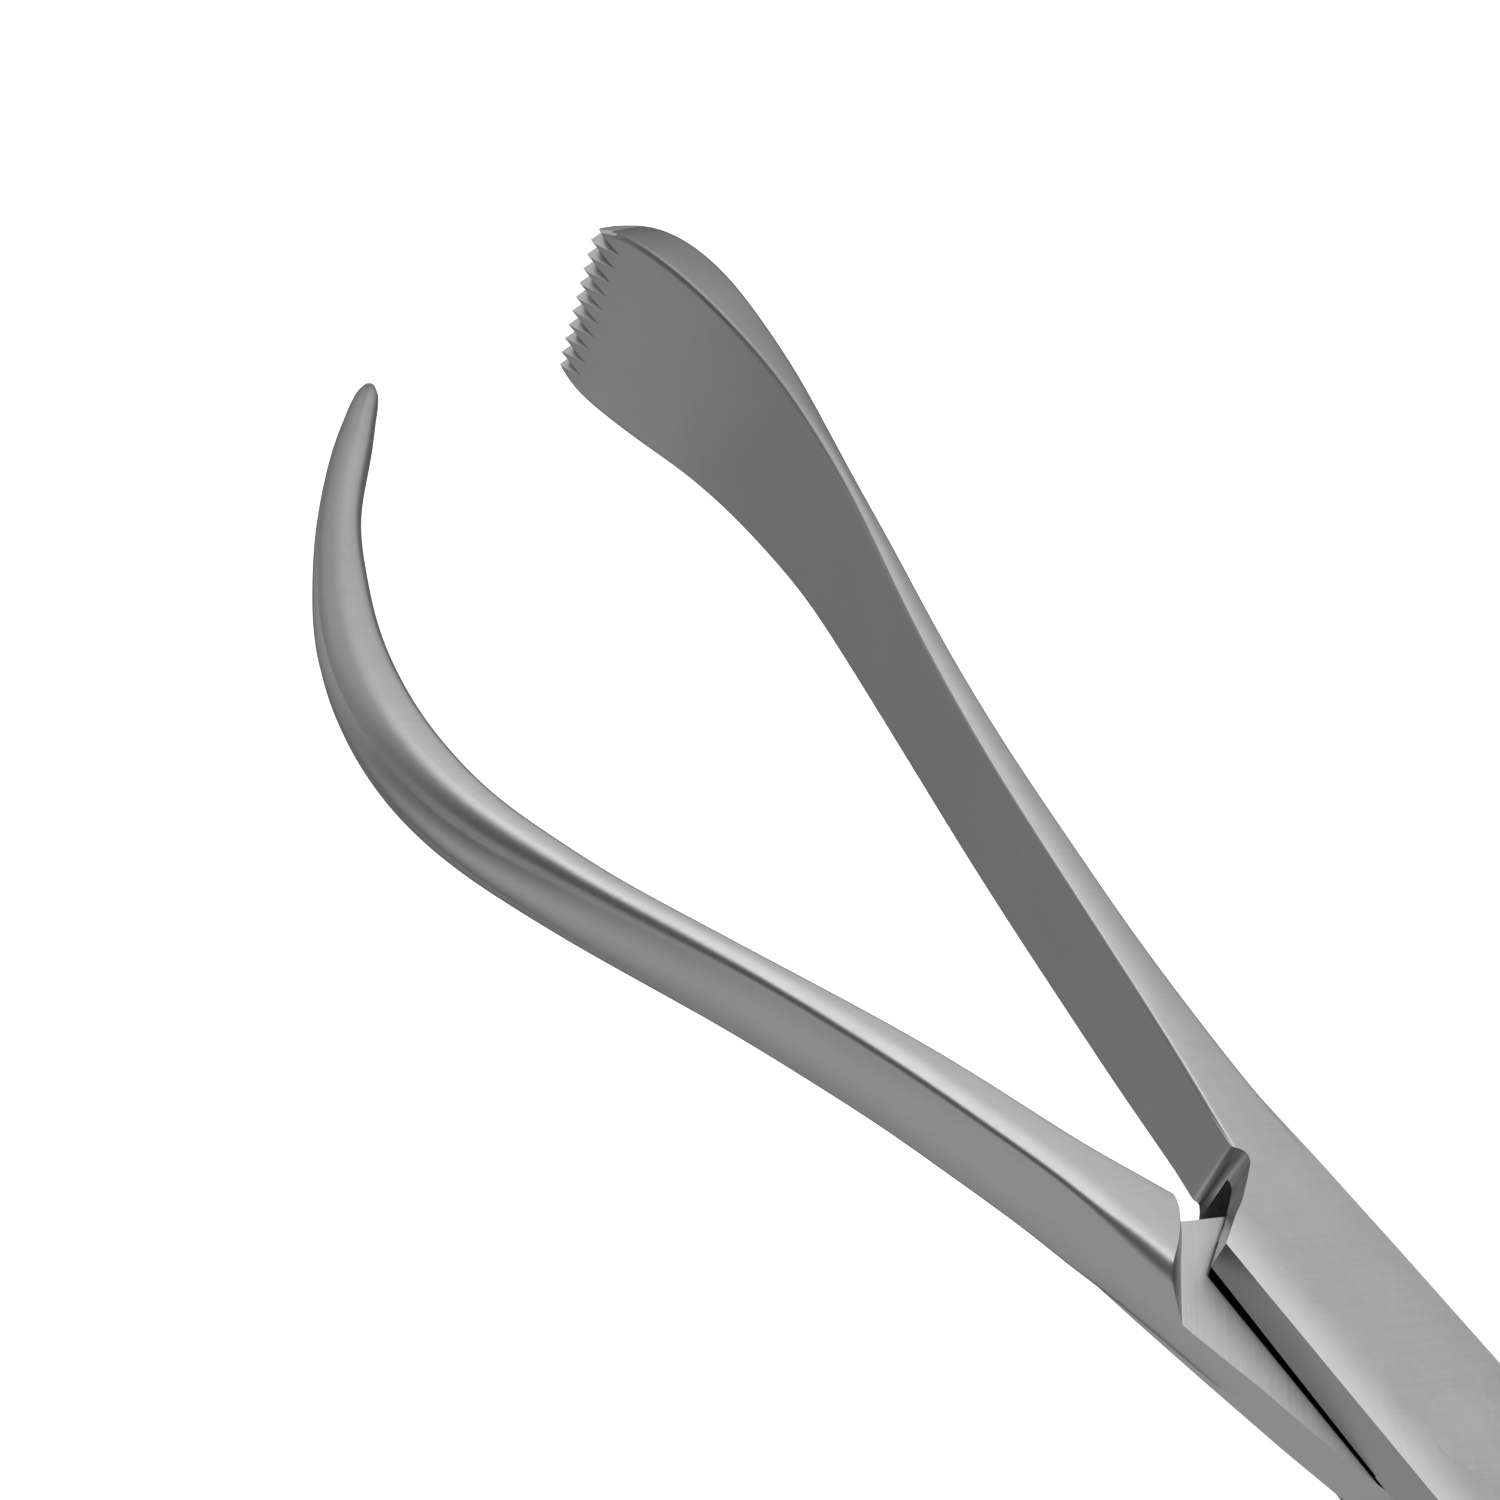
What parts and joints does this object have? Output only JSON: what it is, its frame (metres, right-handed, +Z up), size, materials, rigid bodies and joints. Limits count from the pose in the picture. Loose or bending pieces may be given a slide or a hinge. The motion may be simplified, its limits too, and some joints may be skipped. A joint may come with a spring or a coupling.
{
  "type": "extraction forceps",
  "caption": "Long-handled steel grasping forceps with a toothed plate jaw, a slender hook jaw, a riveted box joint and a swinging ratchet bar between bowed handles.",
  "frame": {"origin": "bottom centre of the whole forceps' bounding box, lying flat with the hinge axis upright", "axes": "+X from the handle ends to the jaws, +Y to the hook-jaw side, +Z up along the hinge axis"},
  "size_m": [0.2708, 0.0874, 0.0167],
  "materials": {
    "forged_steel": "satin ground stainless steel",
    "pin_steel": "turned stainless steel",
    "spring_steel": "bright spring steel"
  },
  "bodies": {
    "plate_side": {"plate_arm": "forged_steel", "hinge_rivet": "pin_steel"},
    "hook_side": {"hook_arm": "forged_steel", "ratchet_screw": "pin_steel", "ratchet_spring": "spring_steel", "spring_screw": "pin_steel"},
    "ratchet": {"ratchet_bar": "forged_steel", "ratchet_stop_pin": "pin_steel"}
  },
  "joints": [
    {"name": "main_hinge", "type": "hinge", "parent": "plate_side", "child": "hook_side", "pos_m": [0.02107, -0.00619, 0.00833], "axis": [0, 0, 1], "range_deg": [-12.4, 4]},
    {"name": "ratchet_pivot", "type": "hinge", "parent": "hook_side", "child": "ratchet", "pos_m": [-0.11491, -0.0395, 0.00833], "axis": [0, 0, -1], "range_deg": [0, 2], "stiffness_Nm_per_rad": 0.2, "springref_deg": -2.86}
  ]
}
